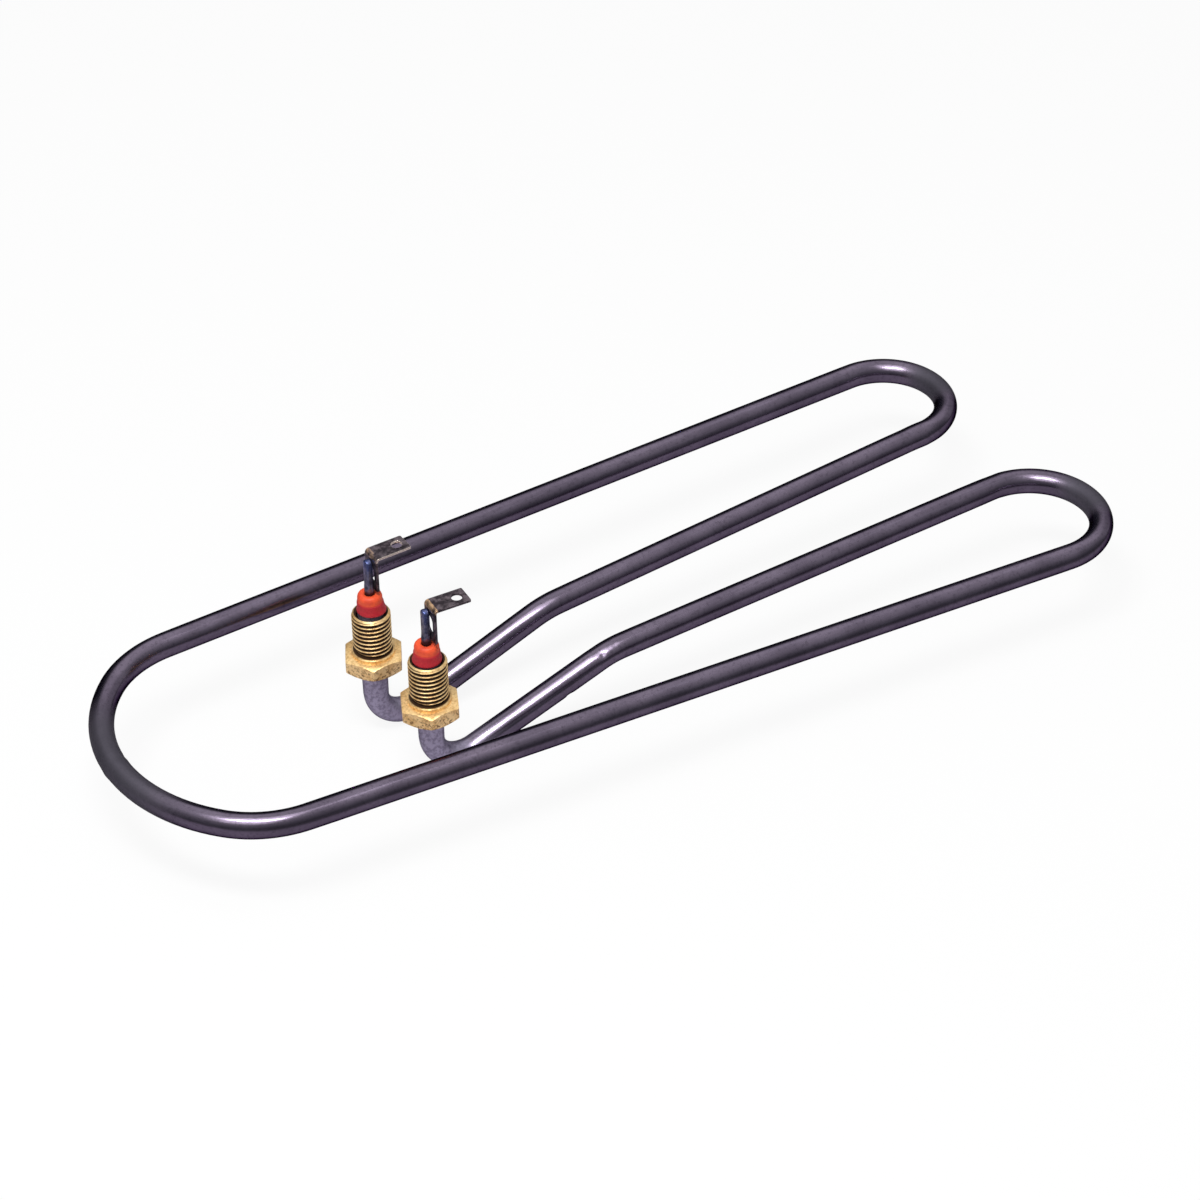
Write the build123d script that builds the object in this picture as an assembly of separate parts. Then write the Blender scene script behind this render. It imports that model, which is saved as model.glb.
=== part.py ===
from build123d import *
from math import cos, radians, sin, sqrt, tan
from types import SimpleNamespace
import os

# Tubular heating element, in millimetres, +Z up.
# The loop lies level. Its big bend is towards -X and its two hairpins are towards +X. Each end
# comes back between the legs, dips, turns up through an elbow and ends in a threaded fitting.
# The origin is midway between the two fittings, on the plane of their seating faces.

# Sheath and what it holds
tube_d = 8.0
sheath_wall = 0.7
pin_d = 3.0  # the coil is wound to the same outside diameter
coil_wire_d = 0.4
spigot_length = 6.0  # turned-down inner end of a pin, inside the coil
cold_slope = 32.0  # how far a pin runs up the slope past the elbow
plug_length = 5.0
fill_gap = 0.03  # radial play between the sheath, the powder, the coil and the pins

# Loop, along the tube's centre line
fitting_spacing = 29.24  # across the loop, between the fittings' axes
leg_splay = 2.77  # degrees that each outer leg leans away from the loop's axis
loop_rise = 0.65  # centre line of the outer legs above the seating plane
crown_angle = 45.0  # degrees of the big bend, on each side of its middle, that are bent wider
dip_bend_radius = 60.0
slope_bend_radius = 30.0

# The two sides were bent by hand and differ a little. "far" is the side towards +Y and "near"
# the side towards -Y. Lengths run to the corners that the straight runs would make, apart from
# the outer legs, which run from arc to arc. A pitch is a fall towards the big bend, in degrees.
far = SimpleNamespace(
    side=1,
    crown=1.1,  # radius of the big bend's middle, as a share of bend_radius
    shoulder=0.755,  # radius of the rest of it
    outer_leg=256.4,
    hairpin_radius=19.9,
    hairpin_turn=180.3,
    inner_leg=142.9,
    inner_pitch=3.57,
    slope=64.7,
    slope_pitch=21.25,
    slope_heading=0.9,
    elbow_radius=10.6,
    stand=0.8,  # sheath's end above the fitting's mouth
    hex_turn=3.0,
    tab_turn=2.0,
    tab_shift=0.0,  # tab's middle from the pin's axis, across the tab
)
near = SimpleNamespace(
    side=-1,
    crown=1.21,
    shoulder=0.76,
    outer_leg=259.8,
    hairpin_radius=21.3,
    hairpin_turn=182.7,
    inner_leg=140.9,
    inner_pitch=3.33,
    slope=66.6,
    slope_pitch=19.7,
    slope_heading=0.3,
    elbow_radius=10.9,
    stand=0.0,
    hex_turn=6.0,
    tab_turn=-2.0,
    tab_shift=-1.0,
)

# Brass fitting
thread_d = 12.0  # M12 x 1.5
shank_length = 15.2  # from the seating face to the mouth
shank_chamfer = 0.7
collar_lip = 0.7  # radial, beyond the thread
collar_height = 1.2
hex_flats = 17.0
hex_height = 5.0
hex_chamfer = 1.5  # radial
hex_chamfer_height = 0.8
mouth_room = 0.6  # radial, between the wider mouth and the sheath
mouth_depth = 4.5
mouth_countersink = 0.6
braze_gap = 0.05  # radial, between the fitting's bore and the sheath

# Red bead
bead_overhang = 0.5  # radial, beyond the sheath
bead_lip_height = 0.65
bead_waist_d = 8.1
bead_flare_height = 2.6
bead_top_d = 7.7
bead_height = 6.3
bead_edge_radius = 0.9
bead_gap = 0.05  # radial, round the pin

# Terminal
pad_height = 10.7
pad_width = 3.3
pad_thickness = 2.0
pad_top_radius = 1.4
pad_below_tab = 1.8  # top of the pad below the tab's top face
pad_foot_chamfer = 0.2
tab_rise = 20.3  # top face of the tab above the sheath's end
tab_width = 6.8
tab_thickness = 0.8
tab_reach = 13.3  # from the pin's axis to the tab's free end
tab_inner_bend = 0.5
tab_drop = 12.4  # from the tab's top face to the lower end of its upright
tab_corner = 0.5
hole_d = 3.4
hole_from_end = 3.2
slot_width = 3.6
slot_length = 6.2
slot_from_bottom = 2.6
weld_gap = 0.02  # between the pad and the tab's upright

UP = Vector(0, 0, 1)
STANDING = (Align.CENTER, Align.CENTER, Align.MIN)


class Pen:
    """Walks along a centre line and returns each edge that it draws."""

    def __init__(self, at, way):
        self.at = at
        self.way = way.normalized()

    def straight(self, length):
        start = self.at
        self.at = start + self.way * length
        return Edge.make_line(start, self.at)

    def turn(self, axis, angle, radius):
        start = self.at
        axis = axis.normalized()
        spin = Axis((0, 0, 0), axis)
        centre = start + axis.cross(self.way) * radius
        middle = centre + (start - centre).rotate(spin, angle / 2)
        self.at = centre + (start - centre).rotate(spin, angle)
        self.way = self.way.rotate(spin, angle)
        return Edge.make_three_point_arc(start, middle, self.at)

    def turn_to(self, way, radius):
        return self.turn(self.way.cross(way), self.way.get_angle(way), radius)


def setback(angle, radius):
    """Distance from a corner to where its arc begins."""
    return radius * tan(radians(angle / 2))


def downhill(heading, pitch):
    """Direction back towards the big bend, falling by pitch."""
    flat = Vector(-cos(radians(heading)), -sin(radians(heading)), 0)
    return flat * cos(radians(pitch)) - UP * sin(radians(pitch))


def walk(side, bend_centre, bend_radius):
    """Draws one half of the tube from the middle of the big bend to the foot of its riser."""
    pen = Pen(bend_centre - Vector(bend_radius, 0, 0), Vector(0, side.side, 0))
    about = UP * -side.side
    crown = pen.turn(about, crown_angle, bend_radius * side.crown)
    shoulder = pen.turn(about, 90 - leg_splay - crown_angle, bend_radius * side.shoulder)
    outer = pen.straight(side.outer_leg)
    hairpin = pen.turn(about, side.hairpin_turn, side.hairpin_radius)

    level = pen.way
    inner_way = level * cos(radians(side.inner_pitch)) - UP * sin(radians(side.inner_pitch))
    slope_way = downhill(side.slope_heading, side.slope_pitch)
    dip_back = setback(level.get_angle(inner_way), dip_bend_radius)
    slope_back = setback(inner_way.get_angle(slope_way), slope_bend_radius)
    elbow_back = setback(slope_way.get_angle(UP), side.elbow_radius)

    dip = pen.turn_to(inner_way, dip_bend_radius)
    inner = pen.straight(side.inner_leg - dip_back - slope_back)
    slope_bend = pen.turn_to(slope_way, slope_bend_radius)
    hot_slope = pen.straight(side.slope - slope_back - elbow_back - cold_slope)
    spigot_end = pen.at
    cold = pen.straight(cold_slope)
    elbow = pen.turn_to(UP, side.elbow_radius)
    return SimpleNamespace(
        hot=[crown, shoulder, outer, hairpin, dip, inner, slope_bend, hot_slope],
        hot_slope=hot_slope,
        cold=[cold, elbow],
        coil_end=spigot_end,
        foot=pen.at,
    )


def spacing_with(bend_radius):
    """Fittings' spacing across the loop, and the point midway between them, for a bend radius."""
    far_foot, near_foot = (walk(side, Vector(0, 0, 0), bend_radius).foot for side in (far, near))
    return (far_foot - near_foot).Y, (far_foot + near_foot) / 2


def close_loop():
    """Centre and radius of the big bend that put the fittings at their spacing about the origin.
    The spacing grows evenly with the radius, so two trials give the radius."""
    trial, wider_trial = fitting_spacing, 2 * fitting_spacing
    spacing, wider_spacing = spacing_with(trial)[0], spacing_with(wider_trial)[0]
    growth = (wider_spacing - spacing) / (wider_trial - trial)
    radius = trial + (fitting_spacing - spacing) / growth
    middle = spacing_with(radius)[1]
    return Vector(-middle.X, -middle.Y, loop_rise), radius


bend_centre, bend_radius = close_loop()
for half in (far, near):
    half.route = walk(half, bend_centre, bend_radius)
    half.axis = Vector(half.route.foot.X, half.route.foot.Y, 0)
    half.sheath_end = shank_length + half.stand

sheath_bore_d = tube_d - 2 * sheath_wall
fill_d = sheath_bore_d - 2 * fill_gap
fill_bore_d = pin_d + 2 * fill_gap
coil_bore_d = pin_d - 2 * coil_wire_d
spigot_d = coil_bore_d - 2 * fill_gap


def riser(side, top):
    """Straight run from the elbow up to a height."""
    return Edge.make_line(side.route.foot, Vector(side.axis.X, side.axis.Y, top))


def along(edges, outer_d, inner_d=0.0):
    """Round bar or tube along a chain of edges."""
    path = Wire(edges)
    section = Circle(outer_d / 2)
    if inner_d:
        section -= Circle(inner_d / 2)
    start = Plane(origin=path @ 0, z_dir=path % 0)
    return sweep(start * section, path=path)


def whole_route(top_far, top_near):
    """Centre line from the far riser round the loop to the near riser."""
    back = [riser(far, top_far), *reversed(far.route.cold), *reversed(far.route.hot)]
    return back + [*near.route.hot, *near.route.cold, riser(near, top_near)]


def hot_route():
    return [*reversed(far.route.hot), *near.route.hot]


def upright(side, height):
    """Location on the side's axis, at a height."""
    return Pos(side.axis.X, side.axis.Y, height)


def sheath_tube():
    return along(whole_route(far.sheath_end, near.sheath_end), tube_d, sheath_bore_d)


def magnesia_fill():
    tops = [side.sheath_end - plug_length for side in (far, near)]
    return along(whole_route(*tops), fill_d, fill_bore_d)


def resistance_coil():
    return along(hot_route(), pin_d, coil_bore_d)


def hot_edge_after_spigot(side):
    """What is left of the hot slope once the pin's spigot has taken its length."""
    edge = side.route.hot_slope
    way = (edge % 1).normalized()
    return Edge.make_line(edge @ 0, edge @ 1 - way * spigot_length)


def magnesia_core():
    """Powder inside the coil, from one pin's spigot to the other's."""
    far_part = [*far.route.hot[:-1], hot_edge_after_spigot(far)]
    near_part = [*near.route.hot[:-1], hot_edge_after_spigot(near)]
    return along([*reversed(far_part), *near_part], spigot_d)


def moisture_plug(side):
    low = upright(side, side.sheath_end - plug_length)
    ring = Circle(fill_d / 2) - Circle(fill_bore_d / 2)
    return low * extrude(ring, plug_length)


def terminal_pin(side):
    pad_top = side.sheath_end + tab_rise - pad_below_tab
    shaft_top = pad_top - pad_height
    body = along([*side.route.cold, riser(side, shaft_top)], pin_d)
    spigot_way = side.route.hot_slope % 1
    spigot_base = Plane(origin=side.route.coil_end, z_dir=-spigot_way)
    spigot = spigot_base * Cylinder(spigot_d / 2, spigot_length, align=STANDING)
    pad = Box(pad_thickness, pad_width, pad_height, align=STANDING)
    pad = fillet(pad.edges().filter_by(Axis.X).group_by(Axis.Z)[-1], pad_top_radius)
    pad = chamfer(pad.edges().group_by(Axis.Z)[0], pad_foot_chamfer)
    turned = upright(side, shaft_top) * Rot(0, 0, side.tab_turn) * pad
    return body + spigot + turned


def fitting(side):
    """Hexagon, collar and threaded shank, bored for the sheath. The thread is left plain."""
    hexagon = extrude(RegularPolygon(hex_flats / 2, 6, major_radius=False), -hex_height)
    corner = hex_flats / sqrt(3)
    blank = Pos(0, 0, -hex_height) * Cylinder(corner, hex_height, align=STANDING)
    rims = blank.edges().filter_by(GeomType.CIRCLE)
    blank = chamfer(rims, hex_chamfer_height, hex_chamfer)
    collar = Cylinder(thread_d / 2 + collar_lip, collar_height, align=STANDING)
    shank = Cylinder(thread_d / 2, shank_length, align=STANDING)
    shank = chamfer(shank.edges().group_by(Axis.Z)[-1], shank_chamfer)
    body = (hexagon & blank) + collar + shank

    bore = Cylinder(tube_d / 2 + braze_gap, hex_height + shank_length, align=STANDING)
    body -= Pos(0, 0, -hex_height) * bore
    mouth = tube_d / 2 + mouth_room
    body -= Pos(0, 0, shank_length - mouth_depth) * Cylinder(mouth, mouth_depth, align=STANDING)
    flare = Cone(mouth, mouth + mouth_countersink, mouth_countersink, align=STANDING)
    body -= Pos(0, 0, shank_length - mouth_countersink) * flare
    return upright(side, 0) * Rot(0, 0, side.hex_turn) * body


def seal_bead(side):
    """Red bead: a flared foot, a slightly tapered side and a rounded top edge."""
    bore = pin_d / 2 + bead_gap
    foot = tube_d / 2 + bead_overhang
    top = bead_top_d / 2
    lip = (foot, bead_lip_height)
    neck = (bead_waist_d / 2, bead_flare_height)
    shoulder = (top, bead_height - bead_edge_radius)
    crown = (top - bead_edge_radius, bead_height)
    outline = Line((bore, 0), (foot, 0)) + Line((foot, 0), lip)
    outline += Spline(lip, neck, tangents=((0, 1), (0, 1)))
    outline += Line(neck, shoulder) + RadiusArc(shoulder, crown, -bead_edge_radius)
    outline += Line(crown, (bore, bead_height)) + Line((bore, bead_height), (bore, 0))
    section = Plane.XZ * make_face(outline)
    return upright(side, side.sheath_end) * revolve(section, Axis.Z)


def tab(side):
    """L shaped strip with its upright against the pad and its arm towards +X."""
    inside = pad_thickness / 2 + weld_gap
    outside = inside + tab_thickness
    throat = tab_thickness + tab_inner_bend
    outline = Line((inside, -tab_drop), (inside, -throat))
    outline += RadiusArc((inside, -throat), (inside + throat, 0), throat)
    outline += Line((inside + throat, 0), (tab_reach, 0))
    outline += Line((tab_reach, 0), (tab_reach, -tab_thickness))
    outline += Line((tab_reach, -tab_thickness), (outside + tab_inner_bend, -tab_thickness))
    outline += RadiusArc(
        (outside + tab_inner_bend, -tab_thickness), (outside, -throat), -tab_inner_bend
    )
    outline += Line((outside, -throat), (outside, -tab_drop))
    outline += Line((outside, -tab_drop), (inside, -tab_drop))
    strip = extrude(Plane.XZ * make_face(outline), tab_width / 2, both=True)

    free_end = strip.edges().filter_by(Axis.Z).group_by(Axis.X)[-1]
    strip = fillet(free_end, tab_corner)
    lower_end = strip.edges().filter_by(Axis.X).group_by(Axis.Z)[0]
    strip = fillet(lower_end, tab_corner)

    hole = Cylinder(hole_d / 2, tab_thickness)
    hole = Pos(tab_reach - hole_from_end, 0, -tab_thickness / 2) * hole
    slot_middle = slot_from_bottom + slot_length / 2 - tab_drop
    slot_outline = Plane.YZ * Rot(0, 0, 90) * SlotOverall(slot_length, slot_width)
    slot = Pos(inside, 0, slot_middle) * extrude(slot_outline, tab_thickness)
    place = upright(side, side.sheath_end + tab_rise) * Rot(0, 0, side.tab_turn)
    return place * Pos(0, side.tab_shift, 0) * (strip - hole - slot)


parts = {
    "sheath_tube": sheath_tube(),
    "magnesia_fill": magnesia_fill(),
    "magnesia_core": magnesia_core(),
    "resistance_coil": resistance_coil(),
}
for name, half in (("far", far), ("near", near)):
    parts[f"terminal_pin_{name}"] = terminal_pin(half)
    parts[f"moisture_plug_{name}"] = moisture_plug(half)
    parts[f"fitting_{name}"] = fitting(half)
    parts[f"seal_bead_{name}"] = seal_bead(half)
    parts[f"tab_{name}"] = tab(half)

os.makedirs("parts", exist_ok=True)
for name, shape in parts.items():
    export_step(shape, f"parts/{name}.step")
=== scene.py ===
# %% [markdown]
# # A tubular heating element
# The element is one long metal tube, bent into a loop, with a brass fitting, a red rubber bead
# and a terminal at each end. The CAD solids are loaded first and give every place and size.
# The cells below skin them with what an eye would see, each piece with its own finish.

# %% Load the CAD model
from math import atan2, ceil, cos, degrees, pi, radians, sin, sqrt, tan
from types import SimpleNamespace

import bmesh
import bpy
import numpy as np
from mathutils import Matrix, Vector


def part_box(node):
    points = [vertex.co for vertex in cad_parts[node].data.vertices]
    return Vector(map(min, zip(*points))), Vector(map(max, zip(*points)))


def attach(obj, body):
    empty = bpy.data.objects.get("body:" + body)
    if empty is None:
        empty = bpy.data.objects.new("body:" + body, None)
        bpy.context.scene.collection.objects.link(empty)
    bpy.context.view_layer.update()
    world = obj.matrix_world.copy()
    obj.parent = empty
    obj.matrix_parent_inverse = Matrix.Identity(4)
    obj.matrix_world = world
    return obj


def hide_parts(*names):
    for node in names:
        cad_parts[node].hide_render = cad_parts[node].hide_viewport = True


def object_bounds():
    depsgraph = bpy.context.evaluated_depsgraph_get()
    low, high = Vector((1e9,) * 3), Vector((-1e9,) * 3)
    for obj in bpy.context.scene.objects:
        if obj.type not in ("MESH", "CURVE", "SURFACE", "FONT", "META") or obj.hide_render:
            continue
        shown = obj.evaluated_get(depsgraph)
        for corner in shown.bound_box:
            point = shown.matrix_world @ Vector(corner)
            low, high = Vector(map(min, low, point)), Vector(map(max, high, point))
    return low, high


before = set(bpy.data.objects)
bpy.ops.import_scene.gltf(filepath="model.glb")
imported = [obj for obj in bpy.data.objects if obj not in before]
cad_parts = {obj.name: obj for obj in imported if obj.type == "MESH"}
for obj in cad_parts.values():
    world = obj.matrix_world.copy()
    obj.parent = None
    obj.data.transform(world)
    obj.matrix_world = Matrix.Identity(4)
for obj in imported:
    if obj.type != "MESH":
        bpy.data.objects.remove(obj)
cad_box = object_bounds()
MM = 0.001  # the values below are millimetres, Blender's unit is the metre
UP = Vector((0, 0, 1))
print("CAD box in mm:", [[round(v / MM, 1) for v in corner] for corner in cad_box])


# %% Add an object
def add_object(name, data):
    """Makes an object of data and puts it in the scene."""
    made = bpy.data.objects.new(name, data)
    bpy.context.scene.collection.objects.link(made)
    return made


# %% [markdown]
# ## The camera
# The photo looks down on the loop from the side of the big bend, through a long lens, with the
# object small in a square frame. An azimuth, an elevation and a slight roll place the camera on a
# line through a point of the seating plane.

# %% Camera
camera_azimuth = -29.370
camera_elevation = 37.916
camera_roll = -1.103
camera_distance = 1186.42
looked_at = Vector((69.651, 0.584, 0))
sensor_width = 36.0
focal_pixels = 3842.2
photo_pixels = 1200
seen_from, seen_to = 0.01, 50  # metres

turn, lift, tilt = (radians(a) for a in (camera_azimuth, camera_elevation, camera_roll))
backwards = Vector((sin(turn) * cos(lift), -cos(turn) * cos(lift), sin(lift)))
level_right = (-backwards).cross(UP).normalized()
level_up = backwards.cross(level_right)
camera_right = level_right * cos(tilt) + level_up * sin(tilt)
camera_up = level_up * cos(tilt) - level_right * sin(tilt)
camera_data = bpy.data.cameras.new("camera")
camera_data.sensor_width = sensor_width
camera_data.lens = focal_pixels / photo_pixels * sensor_width
camera_data.clip_start = seen_from
camera_data.clip_end = seen_to
camera = add_object("camera", camera_data)
camera_axes = Matrix((camera_right, camera_up, backwards)).transposed().to_4x4()
camera.matrix_world = Matrix.Translation((looked_at + backwards * camera_distance) * MM) @ camera_axes
bpy.context.scene.camera = camera
print("camera at", [round(v, 3) for v in camera.location], "lens", round(camera_data.lens, 1))

# %% [markdown]
# ## Writing finishes as sums
# A finish is a small program: a few noises, mixed and scaled. Wrapping a socket in a class
# lets that program be written as Python sums, which are easier to change than nodes.

# %% Line, a socket that can be added and scaled
class Line:
    """The value on one socket of a finish. A sum with it adds a Math node."""

    def __init__(self, finish, socket):
        self.finish = finish
        self.socket = socket

    def maths(self, operation, *values):
        return self.finish.node("Math", dict(enumerate(values)), operation=operation)

    def __add__(self, other):
        return self.maths("ADD", self, other)

    def __sub__(self, other):
        return self.maths("SUBTRACT", self, other)

    def __rsub__(self, other):
        return self.maths("SUBTRACT", other, self)

    def __mul__(self, other):
        return self.maths("MULTIPLY", self, other)

    def __pow__(self, other):
        return self.maths("POWER", self, other)

    __radd__ = __add__
    __rmul__ = __mul__


# %% Tone
def tone(red, green, blue):
    """A colour as a picture shows it, from 0 to 255, for a colour socket."""
    parts = [v / 255 for v in (red, green, blue)]
    return tuple(v / 12.92 if v <= 0.04045 else ((v + 0.055) / 1.055) ** 2.4 for v in parts) + (1,)


# %% Finish, a material written node by node
class Finish:
    """A material and the few kinds of node that all finishes here use."""

    def __init__(self, name, tree=None):
        if tree is None:
            self.material = bpy.data.materials.new(name)
            self.material.use_nodes = True
            tree = self.material.node_tree
        self.tree = tree
        self.tree.nodes.clear()

    def node(self, kind, values=None, out=0, **settings):
        """Adds a shader node with the values or Lines of its sockets, and its settings."""
        made = self.tree.nodes.new("ShaderNode" + kind)
        for name, setting in settings.items():
            setattr(made, name, setting)
        for name, value in (values or {}).items():
            if isinstance(value, Line):
                self.tree.links.new(value.socket, made.inputs[name])
            else:
                made.inputs[name].default_value = value
        return Line(self, made.outputs[out] if made.outputs else None)

    def mix(self, share, first, second):
        """Goes from the first colour to the second as share goes from 0 to 1."""
        return self.node("Mix", {0: share, 6: first, 7: second}, out=2, data_type="RGBA")

    def where(self):
        """Place on the piece, in metres."""
        return self.node("TexCoord", out="Object")

    def along(self, axis, place):
        """X, Y or Z of a place or direction."""
        return self.node("SeparateXYZ", {0: place}, out=axis)

    def noise(self, place, size_mm, detail=3.0, roughness=0.55):
        """A cloudy pattern from 0 to 1, whose clouds are about size_mm across."""
        values = {"Vector": place, "Scale": 1 / (size_mm * MM)}
        return self.node("TexNoise", {**values, "Detail": detail, "Roughness": roughness})

    def ramp(self, value, low, high):
        """0 below low and 1 above high, with a soft step between."""
        values = {"Value": value, "From Min": low, "From Max": high}
        return self.node("MapRange", values, interpolation_type="SMOOTHSTEP", clamp=True)

    def mark(self, name):
        """A value that was written on the points of the mesh."""
        return self.node("Attribute", out="Fac", attribute_name=name)

    def rays(self):
        """Lines that are 1 for camera rays, glossy rays and transmission rays."""
        kinds = ("Is Camera Ray", "Is Glossy Ray", "Is Transmission Ray")
        return [self.node("LightPath", out=kind) for kind in kinds]

    def bump(self, height, depth_mm):
        """Bends the light as if height, from 0 to 1, were depth_mm of relief."""
        return self.node("Bump", {"Height": height, "Distance": depth_mm * MM})

    def surface(self, shader):
        """Makes shader the look of the material."""
        self.node("OutputMaterial", {"Surface": shader})
        print("finish", self.material.name, "has", len(self.tree.nodes), "nodes")
        return self.material

    def coat(self, **values):
        """A Principled surface. Names are those of its sockets with _ for a space."""
        named = {key.replace("_", " "): value for key, value in values.items()}
        return self.surface(self.node("BsdfPrincipled", named))


# %% [markdown]
# ## Skinning rows of points
# Every piece here is a skin over rows of points: rings along the tube, rings up a fitting, rings up a
# bead. The first and last point of a ring lie on each other and are merged, and so are rings that
# shrink to a line. That one trick also closes a screw thread, whose rings climb as they go round.

# %% Skin a grid of points
merge_distance = 0.002  # millimetres
sharp_angle = 38.0  # degrees, above which an edge is sharp


def skin(name, rows, marks=None, close_ends=True):
    """Makes a closed mesh object from rings of points in millimetres."""
    rows = np.asarray(rows, float)
    count, columns = rows.shape[:2]
    shell = bmesh.new()
    layers = {key: shell.verts.layers.float.new(key) for key in (marks or {})}
    points = []
    for at, place in enumerate(rows.reshape(-1, 3)):
        point = shell.verts.new(place)
        points.append(point)
        for key, layer in layers.items():
            point[layer] = float(marks[key].flat[at])
    for row in range(count - 1):
        for column in range(columns - 1):
            a = row * columns + column
            shell.faces.new([points[k] for k in (a, a + 1, a + columns + 1, a + columns)])
    if close_ends:
        for row in (0, count - 1):
            ring = [points[row * columns + column] for column in range(columns - 1)]
            shell.faces.new(ring)
    bmesh.ops.remove_doubles(shell, verts=shell.verts, dist=merge_distance)
    bmesh.ops.dissolve_degenerate(shell, edges=shell.edges, dist=merge_distance / 2)
    return finish_mesh(name, shell)


# %% Finish a mesh
def finish_mesh(name, shell):
    """Turns a bmesh in millimetres into a smooth object in metres, sharp edges kept."""
    bmesh.ops.recalc_face_normals(shell, faces=shell.faces)
    bmesh.ops.scale(shell, vec=(MM, MM, MM), verts=shell.verts)
    mesh = bpy.data.meshes.new(name)
    shell.to_mesh(mesh)
    open_edges = sum(1 for edge in shell.edges if not edge.is_manifold)
    shell.free()
    mesh.shade_smooth()
    mesh.set_sharp_from_angle(angle=radians(sharp_angle))
    piece = add_object(name, mesh)
    mesh.calc_loop_triangles()
    print(name, "has", len(mesh.loop_triangles), "triangles and", open_edges, "open edges")
    return piece


# %% Fit a piece out
def fit_out(piece, node, material):
    """Lets a piece stand for its CAD node, gives it its finish, and says how far it departs."""
    piece.data.materials.append(material)
    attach(piece, "root")
    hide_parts(node)
    places = np.array([v.co for v in piece.data.vertices])
    low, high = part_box(node)
    gap_low = (places.min(0) - np.array(low)) / MM
    gap_high = (places.max(0) - np.array(high)) / MM
    print(node, "box differs by", np.round(gap_low, 2), "and", np.round(gap_high, 2), "mm")


# %% [markdown]
# ## The tube's run
# The tube was bent by hand round formers: one big bend, a hairpin at the end of each leg, a dip and
# a tight elbow under each fitting. Walking along its centre line, and dropping a station every few
# millimetres, gives the same run as the CAD model, from the same lengths, angles and radii.

# %% Sizes of the run
tube_d = 8.0
sheath_wall = 0.7
fitting_spacing = 29.24
leg_splay = 2.77
loop_rise = 0.65
crown_angle = 45.0
dip_bend_radius = 60.0
slope_bend_radius = 30.0
cold_slope = 32.0
shank_length = 15.2
pairs = dict(  # the far side's value, then the near side's
    side=(1, -1),
    crown=(1.1, 1.21),  # radius in the middle of the big bend, as a share
    shoulder=(0.755, 0.76),  # and beside the middle
    outer_leg=(256.4, 259.8),
    hairpin_radius=(19.9, 21.3),
    hairpin_turn=(180.3, 182.7),
    inner_leg=(142.9, 140.9),
    inner_pitch=(3.57, 3.33),  # degrees that the inner leg falls
    slope=(64.7, 66.6),
    slope_pitch=(21.25, 19.7),
    slope_heading=(0.9, 0.3),
    elbow_radius=(10.6, 10.9),
    stand=(0.8, 0.0),  # how far the sheath stands out of its fitting
    hex_turn=(3.0, 6.0),
    tab_turn=(2.0, -2.0),
    tab_shift=(0.0, -1.0),
)
far, near = (SimpleNamespace(**{key: pair[at] for key, pair in pairs.items()}) for at in (0, 1))
halves = {"far": far, "near": near}

# %% A walker
station_step = 2.5  # millimetres on a straight
station_angle = 3.0  # degrees on a bend
bend_squeeze = 0.06  # how much a tube flattens in a bend, of its radius


class Walker:
    """Walks along the centre line. Each station is a place and a pull towards the bend's centre."""

    def __init__(self, at, way):
        self.at = Vector(at)
        self.way = Vector(way).normalized()
        self.stations = [(self.at.copy(), Vector())]

    def straight(self, length):
        start = self.at.copy()
        steps = max(1, ceil(length / station_step))
        for step in range(1, steps + 1):
            self.at = start + self.way * (length * step / steps)
            self.stations.append((self.at.copy(), Vector()))

    def turn(self, axis, angle, radius):
        axis = axis.normalized()
        spoke = -axis.cross(self.way) * radius
        centre = self.at - spoke
        way = self.way.copy()
        steps = max(2, ceil(angle / station_angle))
        for step in range(1, steps + 1):
            swing = Matrix.Rotation(radians(angle * step / steps), 3, axis)
            self.at = centre + swing @ spoke
            self.way = swing @ way
            self.stations.append((self.at.copy(), -(swing @ spoke).normalized() * bend_squeeze))

    def turn_to(self, way, radius):
        self.turn(self.way.cross(way), degrees(self.way.angle(way)), radius)


# %% Walk one half
def setback(angle, radius):
    """Distance from a corner to where its arc begins."""
    return radius * tan(angle / 2)


def walk(side, bend_centre, bend_radius):
    """Walks one half of the tube from the middle of the big bend to the foot of its riser."""
    walker = Walker(bend_centre - Vector((bend_radius, 0, 0)), (0, side.side, 0))
    about = UP * -side.side
    walker.turn(about, crown_angle, bend_radius * side.crown)
    walker.turn(about, 90 - leg_splay - crown_angle, bend_radius * side.shoulder)
    walker.straight(side.outer_leg)
    walker.turn(about, side.hairpin_turn, side.hairpin_radius)

    level = walker.way.copy()
    fall = radians(side.inner_pitch)
    inner_way = level * cos(fall) - UP * sin(fall)
    heading, pitch = radians(side.slope_heading), radians(side.slope_pitch)
    slope_way = Vector((-cos(heading), -sin(heading), 0)) * cos(pitch) - UP * sin(pitch)
    dip_back = setback(level.angle(inner_way), dip_bend_radius)
    slope_back = setback(inner_way.angle(slope_way), slope_bend_radius)
    elbow_back = setback(slope_way.angle(UP), side.elbow_radius)

    walker.turn_to(inner_way, dip_bend_radius)
    walker.straight(side.inner_leg - dip_back - slope_back)
    walker.turn_to(slope_way, slope_bend_radius)
    walker.straight(side.slope - slope_back - elbow_back - cold_slope)
    side.cold_start = len(walker.stations) - 1
    walker.straight(cold_slope)
    walker.turn_to(UP, side.elbow_radius)
    return walker


# %% Size and place the big bend
def feet(radius):
    """Where both halves of the tube end, for a radius of the big bend."""
    return [walk(side, Vector(), radius).at for side in (far, near)]


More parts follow.
